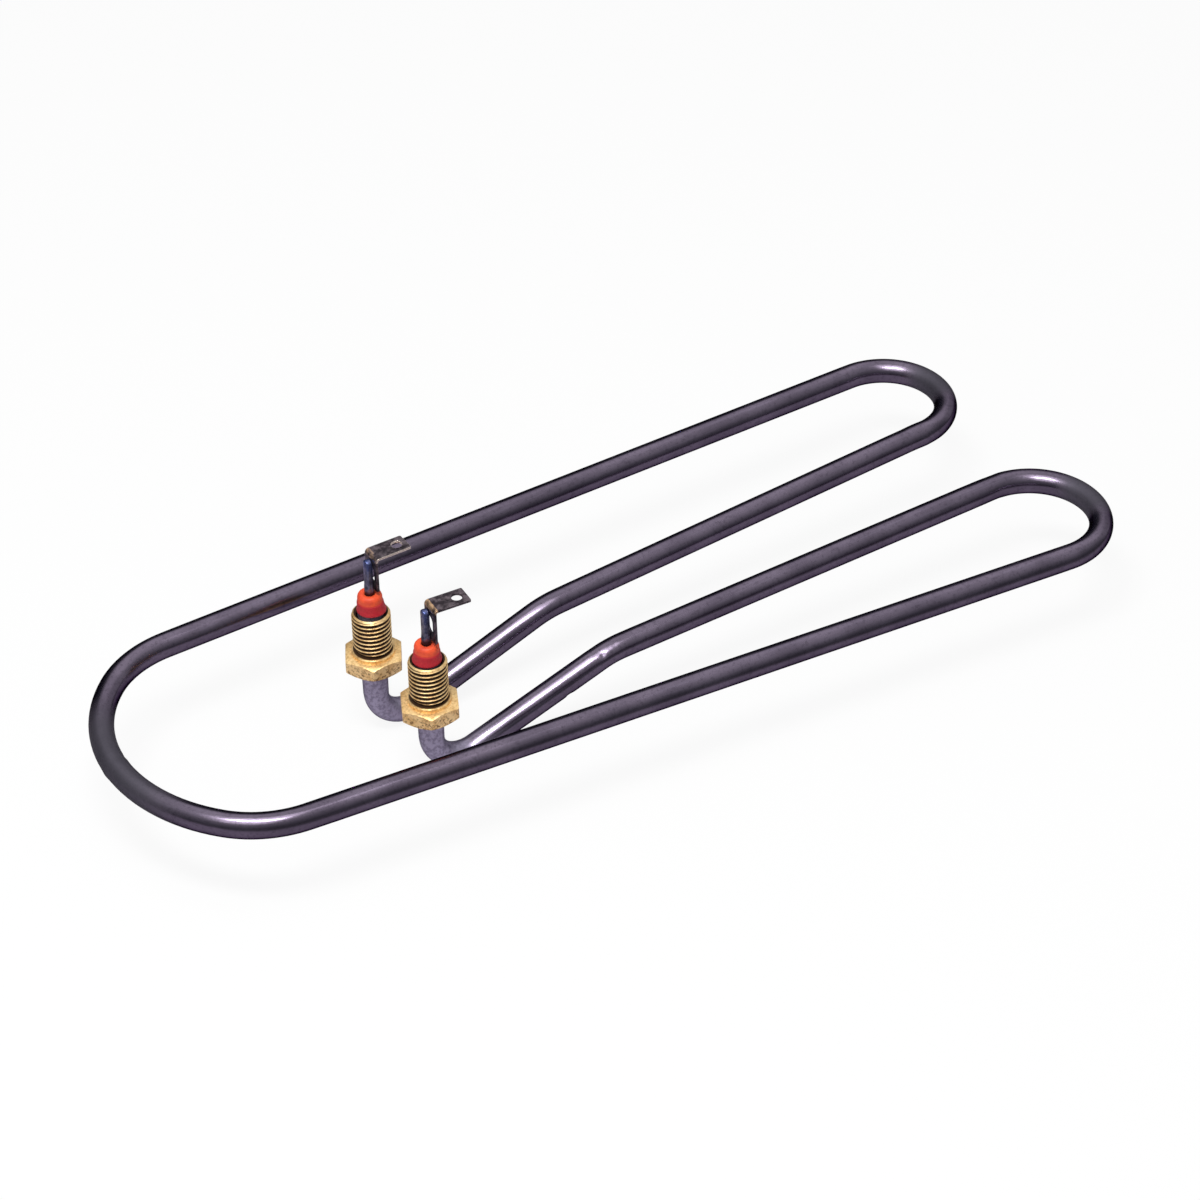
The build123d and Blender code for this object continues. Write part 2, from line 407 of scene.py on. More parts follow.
trials = (fitting_spacing, 2 * fitting_spacing)
spacings = [(feet(radius)[0] - feet(radius)[1]).y for radius in trials]
growth = (spacings[1] - spacings[0]) / (trials[1] - trials[0])
bend_radius = trials[0] + (fitting_spacing - spacings[0]) / growth
middle = sum(feet(bend_radius), Vector()) / 2
bend_centre = Vector((-middle.x, -middle.y, loop_rise))
for half in halves.values():
    half.route = walk(half, bend_centre, bend_radius)
    half.axis = Vector((half.route.at.x, half.route.at.y, 0))
    half.sheath_end = shank_length + half.stand
    half.foot_height = half.route.at.z
    half.route.way = UP.copy()
    half.cold_stations = half.route.stations[half.cold_start:]
    half.route.straight(half.sheath_end - half.route.at.z)
    print("fitting axis", [round(v, 3) for v in half.axis], "big bend radius", round(bend_radius, 3))

# %% [markdown]
# ## The tube
# A bent tube is not round in its bends: the outer wall sinks a little. So each ring of the skin
# is a circle that is squeezed towards the centre of its bend, and the squeeze fades in
# over a few millimetres. The wall folds over at both ends and runs back inside, because a
# cut end shows the wall's thickness. Three small nicks are pressed into the skin where the photo
# shows them.

# %% Rings along a run of stations
def frames(places):
    """A pair of cross directions at each place, carried along the run without twist."""
    ways = np.gradient(places, axis=0)
    ways /= np.linalg.norm(ways, axis=1)[:, None]
    side = np.cross(ways[0], (0.31, 0.95, 0.02))
    across = []
    for way in ways:
        side = side - way * side.dot(way)
        side /= np.linalg.norm(side)
        across.append((side.copy(), np.cross(way, side)))
    return ways, np.array(across)


def smoothed(values, reach):
    """A running mean over reach stations to each side."""
    padded = np.pad(values, ((reach, reach), (0, 0)), mode="edge")
    window = 2 * reach + 1
    return sum(padded[k:k + len(values)] for k in range(window)) / window


# %% Nicks
nicks = [  # a place on the skin, width and depth
    (np.array((48.25, -17.45, -16.05)), 0.9, 0.6),
    (np.array((60.47, -16.94, -5.93)), 0.9, 0.22),
    (np.array((-88.67, 5.71, 2.6)), 0.9, 0.55),
]
nick_reach = 6.5  # stations this close to a nick are set closer together
nick_steps = 6


def with_detail(stations):
    """Adds stations beside each nick, so that the skin can show it."""
    finer = [stations[0]]
    for (place, pull), (next_place, next_pull) in zip(stations, stations[1:]):
        beside = any(np.linalg.norm(np.array(place) - at) < nick_reach for at, wide, deep in nicks)
        parts = nick_steps if beside else 1
        for part in range(1, parts + 1):
            share = part / parts
            finer.append((place.lerp(next_place, share), pull.lerp(next_pull, share)))
    return finer


# %% Stations of the tube
tube_columns = 48
pull_reach = 2  # stations over which the squeeze fades in
stations = with_detail(list(reversed(far.route.stations)) + near.route.stations[1:])
centre_line = np.array([place for place, pull in stations])
pulls = smoothed(np.array([pull for place, pull in stations]), pull_reach)
steps = np.linalg.norm(np.diff(centre_line, axis=0), axis=1)
along = np.concatenate(([0], np.cumsum(steps)))
ways, across = frames(centre_line)
angles = np.linspace(0, 2 * pi, tube_columns + 1)
print(len(stations), "stations")


# %% A ring of the tube
sink, sink_lean = 0.75, 0.25  # the outer wall sinks by their sum, the inner by their difference
bulge = 0.35  # how much the sides stand out


def tube_ring(at, radius, oval=True, slide=0.0):
    """One ring of the tube at a station, squeezed by the bend it is in."""
    side, other = across[at]
    directions = np.outer(np.cos(angles), side) + np.outer(np.sin(angles), other)
    size = np.linalg.norm(pulls[at])
    reach = np.full(len(angles), float(radius))
    if oval and size > 1e-6:
        facing = directions @ (pulls[at] / size)
        sunk = facing ** 2 * (sink - sink_lean * facing)
        reach = radius * (1 - size * sunk + bulge * size * (1 - facing ** 2))
    for place, wide, deep in nicks if oval else []:
        away = np.linalg.norm(centre_line[at] + directions * reach[:, None] - place, axis=1)
        reach = reach - deep * np.exp(-((away / wide) ** 2))
    return centre_line[at] + ways[at] * slide + directions * reach[:, None]


# %% Build the tube
lip_bevel = 0.12
bent_reach = 3  # the same for the mark of a bend
last = len(centre_line) - 1
outer, inner = tube_d / 2, tube_d / 2 - sheath_wall
rings = [tube_ring(0, inner + lip_bevel), tube_ring(0, outer - lip_bevel)]
rings.append(tube_ring(0, outer, slide=lip_bevel))
rings += [tube_ring(at, outer) for at in range(1, last)]
rings.append(tube_ring(last, outer, slide=-lip_bevel))
rings += [tube_ring(last, outer - lip_bevel), tube_ring(last, inner + lip_bevel)]
rings.append(tube_ring(last, inner, False, -lip_bevel))
inside = range(last - 2, 1, -2)  # half the stations are enough inside
rings += [tube_ring(at, inner, False) for at in inside]
rings.append(tube_ring(0, inner, False, lip_bevel))
rings.append(rings[0])
marked = [0, 0, 0, *range(1, last), last, last, last, last, *inside, 0, 0]
lengthwise = np.repeat(along[marked][:, None], tube_columns + 1, axis=1)
round_about = np.repeat(angles[None, :], len(marked), axis=0)
from_end = np.minimum(lengthwise, along[-1] - lengthwise)
tube_marks = {
    "lengthwise": lengthwise,
    "across_grain": np.cos(round_about),
    "up_grain": np.sin(round_about),
    "from_end": from_end,
    "bent": np.repeat(np.abs(smoothed(ways, bent_reach)[marked, 1:2]), tube_columns + 1, axis=1),
}
sheath = skin("sheath", rings, tube_marks, close_ends=False)
print("tube length", round(float(along[-1]), 1), "mm in", len(rings), "rings")

# %% [markdown]
# ## The tube's finish
# The sheath is a nickel alloy that was annealed after bending. That left a thin, dark oxide with a
# violet cast, slightly cloudy, with a faint grain along the tube from drawing. It is built as a
# dark metal whose colour and roughness drift in clouds, and which is paler and duller on the elbows
# that the brazing flame has reached. Round the big bend and the hairpins its colour is darkened as
# painted shade, and it is rougher and less metallic there.

# %% Oxidised sheath
grain_along, grain_across = 0.05, 4.5  # the grain's scale, drawn out along the tube


def oxide_finish():
    f = Finish("oxidised_sheath")
    place = f.where()
    clouds = f.noise(place, 14, 4)
    specks = f.noise(place, 1.1, 4, 0.65)
    stretched = {
        "X": f.mark("lengthwise") * grain_along,
        "Y": f.mark("across_grain") * grain_across,
        "Z": f.mark("up_grain") * grain_across,
    }
    grain = f.noise(f.node("CombineXYZ", stretched), 1 / MM, 4, 0.6)
    brazed = 1 - f.ramp(f.mark("from_end") + clouds * 16, 44, 72)
    # painted shade: this mask darkens the colour where the tube runs round its bends, and also makes
    # it rougher and less metallic there
    shaded_bends = f.ramp(f.mark("bent"), 0.8, 0.98)
    colour = f.mix(f.ramp(clouds, 0.35, 0.68), tone(110, 100, 116), tone(124, 113, 130))
    colour = f.mix(f.ramp(specks, 0.48, 0.7) * 0.5, colour, tone(80, 72, 86))
    colour = f.mix(f.ramp(grain, 0.5, 0.75) * 0.3, colour, tone(140, 130, 150))
    colour = f.mix(shaded_bends * 0.8, colour, tone(76, 75, 82))
    colour = f.mix(brazed * 0.85, colour, tone(190, 182, 206))
    colour = f.mix(f.ramp(specks, 0.42, 0.62) * brazed * 0.6, colour, tone(114, 106, 128))
    rough = 0.16 + clouds * 0.08 + specks * 0.05 + brazed * 0.2 + shaded_bends * 0.2
    metal = 1 - brazed * 0.3 - shaded_bends * 0.35
    relief = f.bump(grain * 0.4 + specks * 0.3, 0.02)
    dark_rim = (0.02, 0.02, 0.03, 1)
    looks = {"Metallic": metal, "Roughness": rough, "Specular_Tint": dark_rim, "Normal": relief}
    return f.coat(Base_Color=colour, **looks)


fit_out(sheath, "sheath_tube", oxide_finish())

# %% [markdown]
# ## The fittings
# Each fitting is turned from hexagonal brass bar: a hexagon to hold it with a spanner, a collar that
# seats on the tank wall, and a threaded shank. The skin climbs with the thread, one pitch
# per turn, so the groove is real relief and not a picture of one.

# %% Sizes of a fitting
thread_d = 12.0
thread_pitch = 1.5
thread_depth = 0.613 * thread_pitch
shank_chamfer = 0.7
undercut_depth = 0.75  # the plain groove above the collar
undercut_height = 0.8
collar_lip = 0.7
collar_height = 1.2
hex_flats = 17.0
hex_height = 5.0
hex_chamfer = 1.5
hex_chamfer_height = 0.8
mouth_room = 0.6
mouth_depth = 4.5
mouth_countersink = 0.6
braze_gap = 0.05
collar_edge = 0.25
flat_step = 3.75  # degrees
corner_cuts = {0.0: 0.12, 0.8: 0.05, 1.7: 0.01}  # degrees from a corner, how much is rounded off
corner_steps = [*corner_cuts, *(flat_step * k for k in range(1, 16)), 58.3, 59.2]
fitting_angles = np.array([60.0 * side + step for side in range(6) for step in corner_steps] + [360.0])
fitting_turns = np.radians(fitting_angles)


# %% Outline of the hexagon
angle_match = 0.06  # degrees within which two angles count as one


def hex_reach():
    """Distance from the axis to the hexagon's wall at each angle."""
    within = fitting_angles % 60
    reach = hex_flats / 2 / np.cos(np.radians(within - 30))
    nearest = np.minimum(within, 60 - within)
    for angle, cut in corner_cuts.items():
        reach = np.where(np.isclose(nearest, angle, atol=angle_match), reach - cut, reach)
    return reach


hex_wall = hex_reach()
hex_corner = hex_flats / sqrt(3)
chamfer_start = hex_corner - hex_chamfer
chamfer_drop = np.clip((hex_wall - chamfer_start) / hex_chamfer, 0, 1) * hex_chamfer_height
print("hexagon reaches", round(hex_wall.max(), 2), "mm, chamfer drops", round(chamfer_drop.max(), 2))


# %% Thread
rings_per_pitch = 16
thread_fade = 0.9  # height over which the groove fades in and out
mouth_plain = 0.5  # uncut height at the mouth
half_crest, half_root = 1 / 16, 1 / 8  # half the widths of crest and root, in pitches
undercut_flare = 1.6  # how fast the shank widens above the undercut


def groove(turns):
    """Depth of the thread below its crest, from 0 to 1, for a position in turns."""
    within = turns % 1.0
    slope = np.minimum(within, 1 - within)  # 0 in the middle of the groove, 0.5 at the crest
    return np.clip((0.5 - half_crest - slope) / (0.5 - half_crest - half_root), 0, 1)


def thread_rows():
    """Rings that climb one pitch per turn, and end flat at the collar and at the mouth."""
    low, high = collar_height + undercut_height, shank_length
    crest = thread_d / 2
    rows, depths = [], []
    count = ceil((high - low) / thread_pitch * rings_per_pitch)
    for ring in range(-rings_per_pitch, count + 1):
        climb = ring / rings_per_pitch + fitting_angles / 360
        height = np.clip(low + climb * thread_pitch, low, high)
        fade = np.clip((height - low) / thread_fade, 0, 1)
        fade = fade * np.clip((high - height - mouth_plain) / thread_fade, 0, 1)
        depth = groove((height - low) / thread_pitch - fitting_angles / 360) * np.sqrt(fade)
        reach = np.minimum(crest, crest - shank_chamfer + (high - height))
        reach = np.minimum(reach, crest - undercut_depth + (height - low) * undercut_flare)
        rows.append((reach - depth * thread_depth, height))
        depths.append(depth)
    return rows, depths


# %% Fitting
def fitting_rows():
    """Every ring of a fitting, from the under side of the hexagon round to its bore."""
    flat = np.ones(len(fitting_angles))
    top = np.minimum(hex_wall, chamfer_start)
    collar = thread_d / 2 + collar_lip
    waist = thread_d / 2 - undercut_depth
    bore = tube_d / 2 + braze_gap
    mouth = tube_d / 2 + mouth_room
    body = [
        (bore, -hex_height),
        (top, -hex_height),
        (hex_wall, -hex_height + chamfer_drop),
        (hex_wall, -chamfer_drop),
        (top, 0),
        (collar, 0),
        (collar, collar_height - collar_edge),
        (collar - collar_edge, collar_height),
    ]
    undercut = [(waist, collar_height), (waist, collar_height + undercut_height)]
    inside = [
        (mouth + mouth_countersink, shank_length),
        (mouth, shank_length - mouth_countersink),
        (mouth, shank_length - mouth_depth),
        (bore, shank_length - mouth_depth),
        (bore, -hex_height),
    ]
    threads, depths = thread_rows()
    rows = [(reach * flat, height * flat) for reach, height in body + undercut + threads + inside]
    # The undercut and the bore get a mark of 1, which the brass finish turns into painted shade, as in
    # the deepest groove
    marks = [0 * flat] * len(body) + [flat] * len(undercut) + depths + [flat] * len(inside)
    return rows, np.array(marks)


def ring(reach, height, turns):
    """Points round an axis at the given turns."""
    return np.stack([reach * np.cos(turns), reach * np.sin(turns), height], axis=1)


def build_fitting(name, side):
    rows, groove_marks = fitting_rows()
    places = [ring(reach, height, fitting_turns) for reach, height in rows]
    swing = np.array(Matrix.Rotation(radians(side.hex_turn), 3, "Z"))
    places = np.array(places) @ swing.T + np.array(side.axis)
    return skin(name, places, {"groove": groove_marks}, close_ends=False)


# %% [markdown]
# ## Brass
# Turned brass that has been through brazing is a tan gold, dull on the hexagon, with darker blotches
# on the flats. The crests of the thread are bright from the die. The groove's own depth, written on
# the points by the thread's cell, darkens the colour as painted shade in the grooves, and the undercut
# and the bore, which carry the same mark, get it too.

# %% Turned brass
def brass_finish():
    f = Finish("turned_brass")
    place = f.where()
    height = f.along("Z", place)
    clouds = f.noise(place, 3.2, 4, 0.6)
    specks = f.noise(place, 0.8, 3)
    low_part = 1 - f.ramp(height, -2.6 * MM, -0.6 * MM)
    deep = f.mark("groove")
    colour = f.mix(f.ramp(clouds, 0.38, 0.66), tone(255, 218, 156), tone(228, 184, 120))
    colour = f.mix(f.ramp(specks, 0.46, 0.66) * (0.25 + low_part * 0.6), colour, tone(112, 76, 46))
    # painted shade: the groove mark darkens the colour in the grooves, the undercut and the bore
    colour = f.mix(f.ramp(deep, 0.0, 0.4) * 0.96, colour, tone(44, 20, 12))
    metal = 0.62 - deep * 0.2
    rough = 0.3 + clouds * 0.14 + deep * 0.25
    relief = f.bump(clouds * 0.4 + specks * 0.6, 0.06)
    return f.coat(Base_Color=colour, Metallic=metal, Roughness=rough, Normal=relief)


brass = brass_finish()
for name, half in halves.items():
    fit_out(build_fitting(f"brass_fitting_{name}", half), f"fitting_{name}", brass)

# %% [markdown]
# ## The beads
# A silicone bead closes each end of the tube. It was pressed on by hand, so its skirt stands out
# more on one side than on the other. Slightly uneven rings give it a soft moulded look.

# %% Sizes of a bead
pin_d = 3.0
bead_profile = [  # reach and height
    (1.55, 0.0), (4.3, 0.0), (4.5, 0.2), (4.52, 0.45), (4.45, 0.75), (4.3, 1.2), (4.18, 1.8),
    (4.12, 2.5), (4.08, 3.1), (4.0, 3.35), (3.86, 3.5), (3.82, 3.75), (3.83, 4.4), (3.79, 5.1),
    (3.66, 5.55), (3.4, 5.95), (3.05, 6.2), (2.6, 6.3), (1.9, 6.22), (1.62, 6.05), (1.55, 5.7),
]
bead_columns = 72
bead_top = max(height for reach, height in bead_profile)
hole_reach = 2.0  # the pin's hole, which stays round
skirt_height = 3.4  # below this the skirt is uneven
skirt_waves = [(3, 1.1, 0.03), (5, 0.4, 0.02)]  # waves per turn, their start and their size
far.skirt = SimpleNamespace(turn=-45.0, more=0.42, less=0.3)
near.skirt = SimpleNamespace(turn=200.0, more=0.15, less=0.05)


# %% Bead
def build_bead(name, side):
    turns = np.linspace(0, 2 * pi, bead_columns + 1)
    rows = []
    for reach, height in bead_profile:
        low = max(0.0, 1 - height / skirt_height) if reach > hole_reach else 0.0
        lean = np.cos(turns - radians(side.skirt.turn))
        push = np.where(lean > 0, side.skirt.more * lean ** 2, -side.skirt.less * lean ** 2)
        uneven = sum(size * np.sin(count * turns + start) for count, start, size in skirt_waves)
        rows.append(ring(reach + (push + uneven) * low, 0 * turns + height, turns))
    rows.append(rows[0])
    rises = np.array(rows)[:, :, 2] / bead_top
    places = np.array(rows) + np.array(side.axis + UP * side.sheath_end)
    return skin(name, places, {"rise": rises}, close_ends=False)


# %% [markdown]
# ## Silicone rubber
# The rubber is a flat brick red. It is painted more orange on top, as painted light from above, and
# deeper on the side. It has a satin skin with fine pitting, and a little dust.

# %% Red silicone
def rubber_finish():
    f = Finish("red_silicone")
    place = f.where()
    clouds = f.noise(place, 3.0, 4)
    pits = f.noise(place, 0.45, 3)
    # painted light: upper makes the top of the bead orange over the deeper red of the side
    upper = f.ramp(f.mark("rise") + clouds * 0.08, 0.56, 0.68)
    colour = f.mix(upper, tone(176, 32, 44), tone(234, 86, 48))
    colour = f.mix(f.ramp(clouds, 0.4, 0.7) * 0.4, colour, tone(164, 28, 38))
    colour = f.mix(f.ramp(pits, 0.56, 0.75) * 0.3, colour, tone(216, 96, 70))
    rough = 0.44 + clouds * 0.16
    relief = f.bump(pits * 0.6 + clouds * 0.4, 0.08)
    return f.coat(Base_Color=colour, Roughness=rough, Specular_IOR_Level=0.35, Normal=relief)


rubber = rubber_finish()
for name, half in halves.items():
    fit_out(build_bead(f"rubber_bead_{name}", half), f"seal_bead_{name}", rubber)

# %% [markdown]
# ## The terminal pins
# A steel pin comes up out of each bead and was squashed in a press at its top, which made a
# pad with soft corners. A ring that changes from a circle to a rounded oblong gives that shape: a
# superellipse, where one number says how square it is.

# %% Sizes of a pin
pad_height = 10.7
pad_width = 3.3
pad_thickness = 2.0
pad_top_radius = 1.4
pad_below_tab = 1.8
tab_rise = 20.3
tab_thickness = 0.8
spigot_length = 6.0
spigot_d = 2.14
pin_columns = 32
flare_height = 1.8  # over which the round pin becomes the pad
riser_rings = 7
flare_steps = np.linspace(0.15, 1, 7)
crown_steps = np.linspace(0, 1, 9)
crown_thinning = 0.25  # of the pad's top edge, on each side
round_shape, pad_shape = 2.0, 4.2  # squareness of the round pin and of the pad


# %% Rings of a pin
def oblong(half_x, half_y, squareness, turns):
    """Points of a superellipse: 2 is round, and larger is squarer."""
    c, s = np.cos(turns), np.sin(turns)
    power = 2 / squareness
    x = half_x * np.sign(c) * np.abs(c) ** power
    y = half_y * np.sign(s) * np.abs(s) ** power
    return x, y


def upright_pin_rows(side):
    """Rings from the bead's foot to the rounded top of the pad."""
    turns = np.linspace(0, 2 * pi, pin_columns + 1)
    top = side.sheath_end + tab_rise - pad_below_tab
    foot = top - pad_height
    rows = []
    for height in np.linspace(side.foot_height, foot, riser_rings + 1)[1:]:
        rows.append((height, pin_d / 2, pin_d / 2, round_shape))
    for step in flare_steps:
        ease = step * step * (3 - 2 * step)
        half_x = pin_d / 2 + (pad_thickness - pin_d) / 2 * ease
        half_y = pin_d / 2 + (pad_width - pin_d) / 2 * ease
        shape = round_shape + (pad_shape - round_shape) * ease
        rows.append((foot + flare_height * step, half_x, half_y, shape))
    for step in crown_steps:
        drop = pad_top_radius * (1 - sin(step * pi / 2))
        inset = pad_top_radius * (1 - cos(step * pi / 2))
        half_x = pad_thickness / 2 - crown_thinning * step ** 4
        rows.append((top - drop, half_x, pad_width / 2 - inset, pad_shape - step))
    placed = []
    for height, half_x, half_y, squareness in rows:
        x, y = oblong(half_x, half_y, squareness, turns)
        placed.append(np.stack([x, y, 0 * x + height], axis=1))
    swing = np.array(Matrix.Rotation(radians(side.tab_turn), 3, "Z"))
    return np.array(placed) @ swing.T + np.array(side.axis)


# %% Run of a pin
shoulder_length = 0.01


def pin_run(side):
    """Rings of the spigot, the slope and the elbow, and where they end."""
    line = np.array([place for place, pull in side.cold_stations])
    hot_way = (line[0] - line[1]) / np.linalg.norm(line[0] - line[1])
    spigot = [line[0] + hot_way * length for length in (spigot_length, shoulder_length)]
    run = np.concatenate((spigot, line))
    radii = [spigot_d / 2, spigot_d / 2] + [pin_d / 2] * len(line)
    run_across = frames(run)[1]
    turns = np.linspace(0, 2 * pi, pin_columns + 1)
    rows = []
    for at, radius in enumerate(radii):
        side_way, other_way = run_across[at]
        directions = np.outer(np.cos(turns), side_way) + np.outer(np.sin(turns), other_way)
        rows.append(run[at] + directions * radius)
    return rows, run[-1]


# %% Build a pin
def build_pin(name, side):
    """The run and the upright as one skin, with their rings lined up."""
    rows, end = pin_run(side)
    start = rows[-1][0] - end
    later = rows[-1][pin_columns // 8] - end
    clockwise = np.cross(start, later)[2] < 0
    shift = round(atan2(start[1], start[0]) / (2 * pi) * pin_columns)
    order = [(shift + (-k if clockwise else k)) % pin_columns for k in range(pin_columns)]
    order.append(order[0])
    rows += [upright[order] for upright in upright_pin_rows(side)]
    return skin(name, rows)


# %% [markdown]
# ## Heat tinted steel
# The pins were heated when the tabs were welded on. Steel shows that as bands of blue and violet
# that fade down the pin. A dark ring of painted shade sits where the pin enters the bead.

# %% Pin steel
def pin_finish():
    f = Finish("tinted_pin_steel")
    place = f.where()
    height = f.along("Z", place)
    clouds = f.noise(place, 1.8, 4, 0.6)
    scratches = f.noise(place, 0.5, 3)
    hot = f.ramp(height + clouds * (4 * MM), 30 * MM, 36 * MM)
    colour = f.mix(f.ramp(clouds, 0.35, 0.65), tone(128, 128, 148), tone(74, 76, 98))
    colour = f.mix(hot * 0.6, colour, tone(70, 88, 150))
    colour = f.mix(f.ramp(scratches, 0.6, 0.75) * 0.4, colour, tone(178, 178, 196))
    # painted shade: a dark ring on the pin just above the bead
    bead_foot_shade = 1 - f.ramp(height, 22.6 * MM, 23.8 * MM)
    colour = f.mix(bead_foot_shade * 0.8, colour, tone(30, 28, 32))
    relief = f.bump(scratches * 0.5 + clouds * 0.5, 0.06)
    return f.coat(Base_Color=colour, Metallic=0.95, Roughness=0.24 + clouds * 0.2, Normal=relief)


steel = pin_finish()
for name, half in halves.items():
    fit_out(build_pin(f"steel_pin_{name}", half), f"terminal_pin_{name}", steel)

# %% [markdown]
# ## The tabs
# A tab is a strip with a hole and a slot, cut flat and then folded to an L. It is built the same
# way: a flat outline with its holes is thickened with softly rounded edges, cut across the fold
# into narrow strips, and then every point is carried round the fold.

# %% Sizes of a tab
tab_width = 6.8
tab_reach = 13.3
tab_inner_bend = 0.5
tab_drop = 12.4
tab_corner = 0.5
hole_d = 3.4
hole_from_end = 3.2
slot_width = 3.6
slot_length = 6.2
slot_from_bottom = 2.6
weld_gap = 0.02
tab_edge = 0.1
edge_steps = 2
corner_points = 8  # in a quarter turn of the strip's own corners
hole_points = 12  # in a quarter turn of the slot and the hole
fold_strips = 10
fold_margin = 0.3  # one more cut this far outside the fold
nearly = 0.01  # how close counts as on the face, or as in the fold
# how strong the painted highlight along the arm's edges is, on each side
far.bright_edges = 1.0
near.bright_edges = 0.15
far.tan = 0.75  # how strong the painted highlight at the fold is
near.tan = 1.0
tab_inside = pad_thickness / 2 + weld_gap
tab_outside = tab_inside + tab_thickness
fold_radius = tab_inner_bend + tab_thickness / 2
fold_length = fold_radius * pi / 2
upright_length = tab_drop - tab_thickness - tab_inner_bend
arm_length = tab_reach - tab_outside - tab_inner_bend
blank_length = upright_length + fold_length + arm_length
print("tab blank is", round(blank_length, 2), "mm long")


# %% Flat outlines
def rounded_oblong(centre, length, width, corner, per_corner):
    """Outline of a flat oblong with round corners, as points in order."""
    points = []
    for quarter, (sx, sy) in enumerate(((1, 1), (-1, 1), (-1, -1), (1, -1))):
        for step in range(per_corner + 1):
            angle = (quarter + step / per_corner) * pi / 2
            x = centre + sx * (length / 2 - corner) + corner * cos(angle)
            y = sy * (width / 2 - corner) + corner * sin(angle)
            points.append((x, y))
    return points


def tab_outlines():
    """The strip's own outline, its slot and its hole."""
    slot_at = slot_from_bottom + slot_length / 2
    hole_at = blank_length - hole_from_end
    return [
        rounded_oblong(blank_length / 2, blank_length, tab_width, tab_corner, corner_points),
        rounded_oblong(slot_at, slot_length, slot_width, slot_width / 2, hole_points),
        rounded_oblong(hole_at, hole_d, hole_d, hole_d / 2, hole_points),
    ]


# %% Flat blank
def flat_blank():
    """The tab before folding, lying in X and Y, as a bmesh in millimetres."""
    curve = bpy.data.curves.new("tab_blank", "CURVE")
    curve.dimensions = "2D"
    curve.fill_mode = "BOTH"
    curve.extrude = tab_thickness / 2 - tab_edge
    curve.bevel_depth = tab_edge
    curve.bevel_resolution = edge_steps
    curve.offset = -tab_edge
    for outline in tab_outlines():
        line = curve.splines.new("POLY")
        line.points.add(len(outline) - 1)
        for point, (x, y) in zip(line.points, outline):
            point.co = (x, y, 0, 1)
        line.use_cyclic_u = True
    holder = bpy.data.objects.new("tab_blank", curve)
    mesh = bpy.data.meshes.new_from_object(holder)
    blank = bmesh.new()
    blank.from_mesh(mesh)
    bpy.data.objects.remove(holder)
    bpy.data.curves.remove(curve)
    bpy.data.meshes.remove(mesh)
    bmesh.ops.remove_doubles(blank, verts=blank.verts, dist=merge_distance / 2)
    return blank


# %% Fold the tab
def folded(place):
    """Where a point of the flat blank goes when the strip is folded."""
    u, v, w = place
    if u <= upright_length:
        return Vector((tab_inside + tab_thickness / 2 - w, v, u - tab_drop))
    past = u - upright_length
    if past < fold_length:
        angle = past / fold_radius
        reach = fold_radius + w
        x = tab_outside + tab_inner_bend - reach * cos(angle)
        return Vector((x, v, -tab_thickness - tab_inner_bend + reach * sin(angle)))
    return Vector((tab_outside + tab_inner_bend + past - fold_length, v, w - tab_thickness / 2))


def build_tab(name, side):
    blank = flat_blank()
    edge_highlight_mark = blank.verts.layers.float.new("rim")
    fold_mark = blank.verts.layers.float.new("fold")
    cuts = [upright_length + fold_length * k / fold_strips for k in range(fold_strips + 1)]
    cuts += [upright_length - fold_margin, upright_length + fold_length + fold_margin]
    for cut in cuts:
        everything = list(blank.verts) + list(blank.edges) + list(blank.faces)
        bmesh.ops.bisect_plane(blank, geom=everything, plane_co=(cut, 0, 0), plane_no=(1, 0, 0))
    for point in blank.verts:
        on_arm = point.co.x > upright_length
        edge = abs(point.co.z) < tab_thickness / 2 - nearly
        # The arm's edge points get a mark that the finish paints as a pale highlight, and the fold's
        # points one that it paints as a tan highlight
        point[edge_highlight_mark] = side.bright_edges if edge and on_arm else 0.0
        past = (point.co.x - upright_length) / fold_length
        point[fold_mark] = side.tan if -nearly < past < 1 + nearly else 0.0
        point.co = folded(point.co)
    place = Matrix.Translation(side.axis + UP * (side.sheath_end + tab_rise))
    place = place @ Matrix.Rotation(radians(side.tab_turn), 4, "Z")
    place = place @ Matrix.Translation((0, side.tab_shift, 0))
    bmesh.ops.transform(blank, matrix=place, verts=blank.verts)
    return finish_mesh(name, blank)


# %% [markdown]
# ## Plated strip
# The tabs are tinned steel that has gone dark and mottled. Along the sheared edges of the arm runs a
# painted highlight, and a tan painted highlight lies across the fold.

# %% Tab finish
def strip_finish():
    f = Finish("mottled_strip")
    place = f.where()
    clouds = f.noise(place, 2.2, 5, 0.65)
    specks = f.noise(place, 0.6, 3)
    rim = f.mark("rim")
    # painted highlight: a tan band across the fold
    fold_highlight = f.ramp(f.mark("fold") * clouds, 0.34, 0.56)
    colour = f.mix(f.ramp(clouds, 0.4, 0.62), tone(62, 54, 60), tone(122, 110, 116))
    colour = f.mix(f.ramp(specks, 0.55, 0.7) * 0.5, colour, tone(32, 26, 32))
    colour = f.mix(fold_highlight * 0.8, colour, tone(226, 184, 140))
    # painted highlight: the rim mark makes the arm's edges pale
    colour = f.mix(f.ramp(rim, 0.1, 0.9) * 0.9, colour, tone(240, 224, 208))
    rough = 0.32 + clouds * 0.2 - rim * 0.1
    relief = f.bump(clouds * 0.5 + specks * 0.5, 0.06)
    return f.coat(Base_Color=colour, Metallic=0.9, Roughness=rough, Normal=relief)


strip = strip_finish()
for name, half in halves.items():
    fit_out(build_tab(f"strip_tab_{name}", half), f"tab_{name}", strip)

# %% [markdown]
# ## What the tube holds
# The powder, the coil and the plugs are inside, but a cut copy of the part would show them, so the
# CAD solids get finishes of their own: chalky powder, wound wire and a pale glassy plug.

# %% Finishes of the hidden solids
turns_scale = 300.0  # how close the coil's turns lie


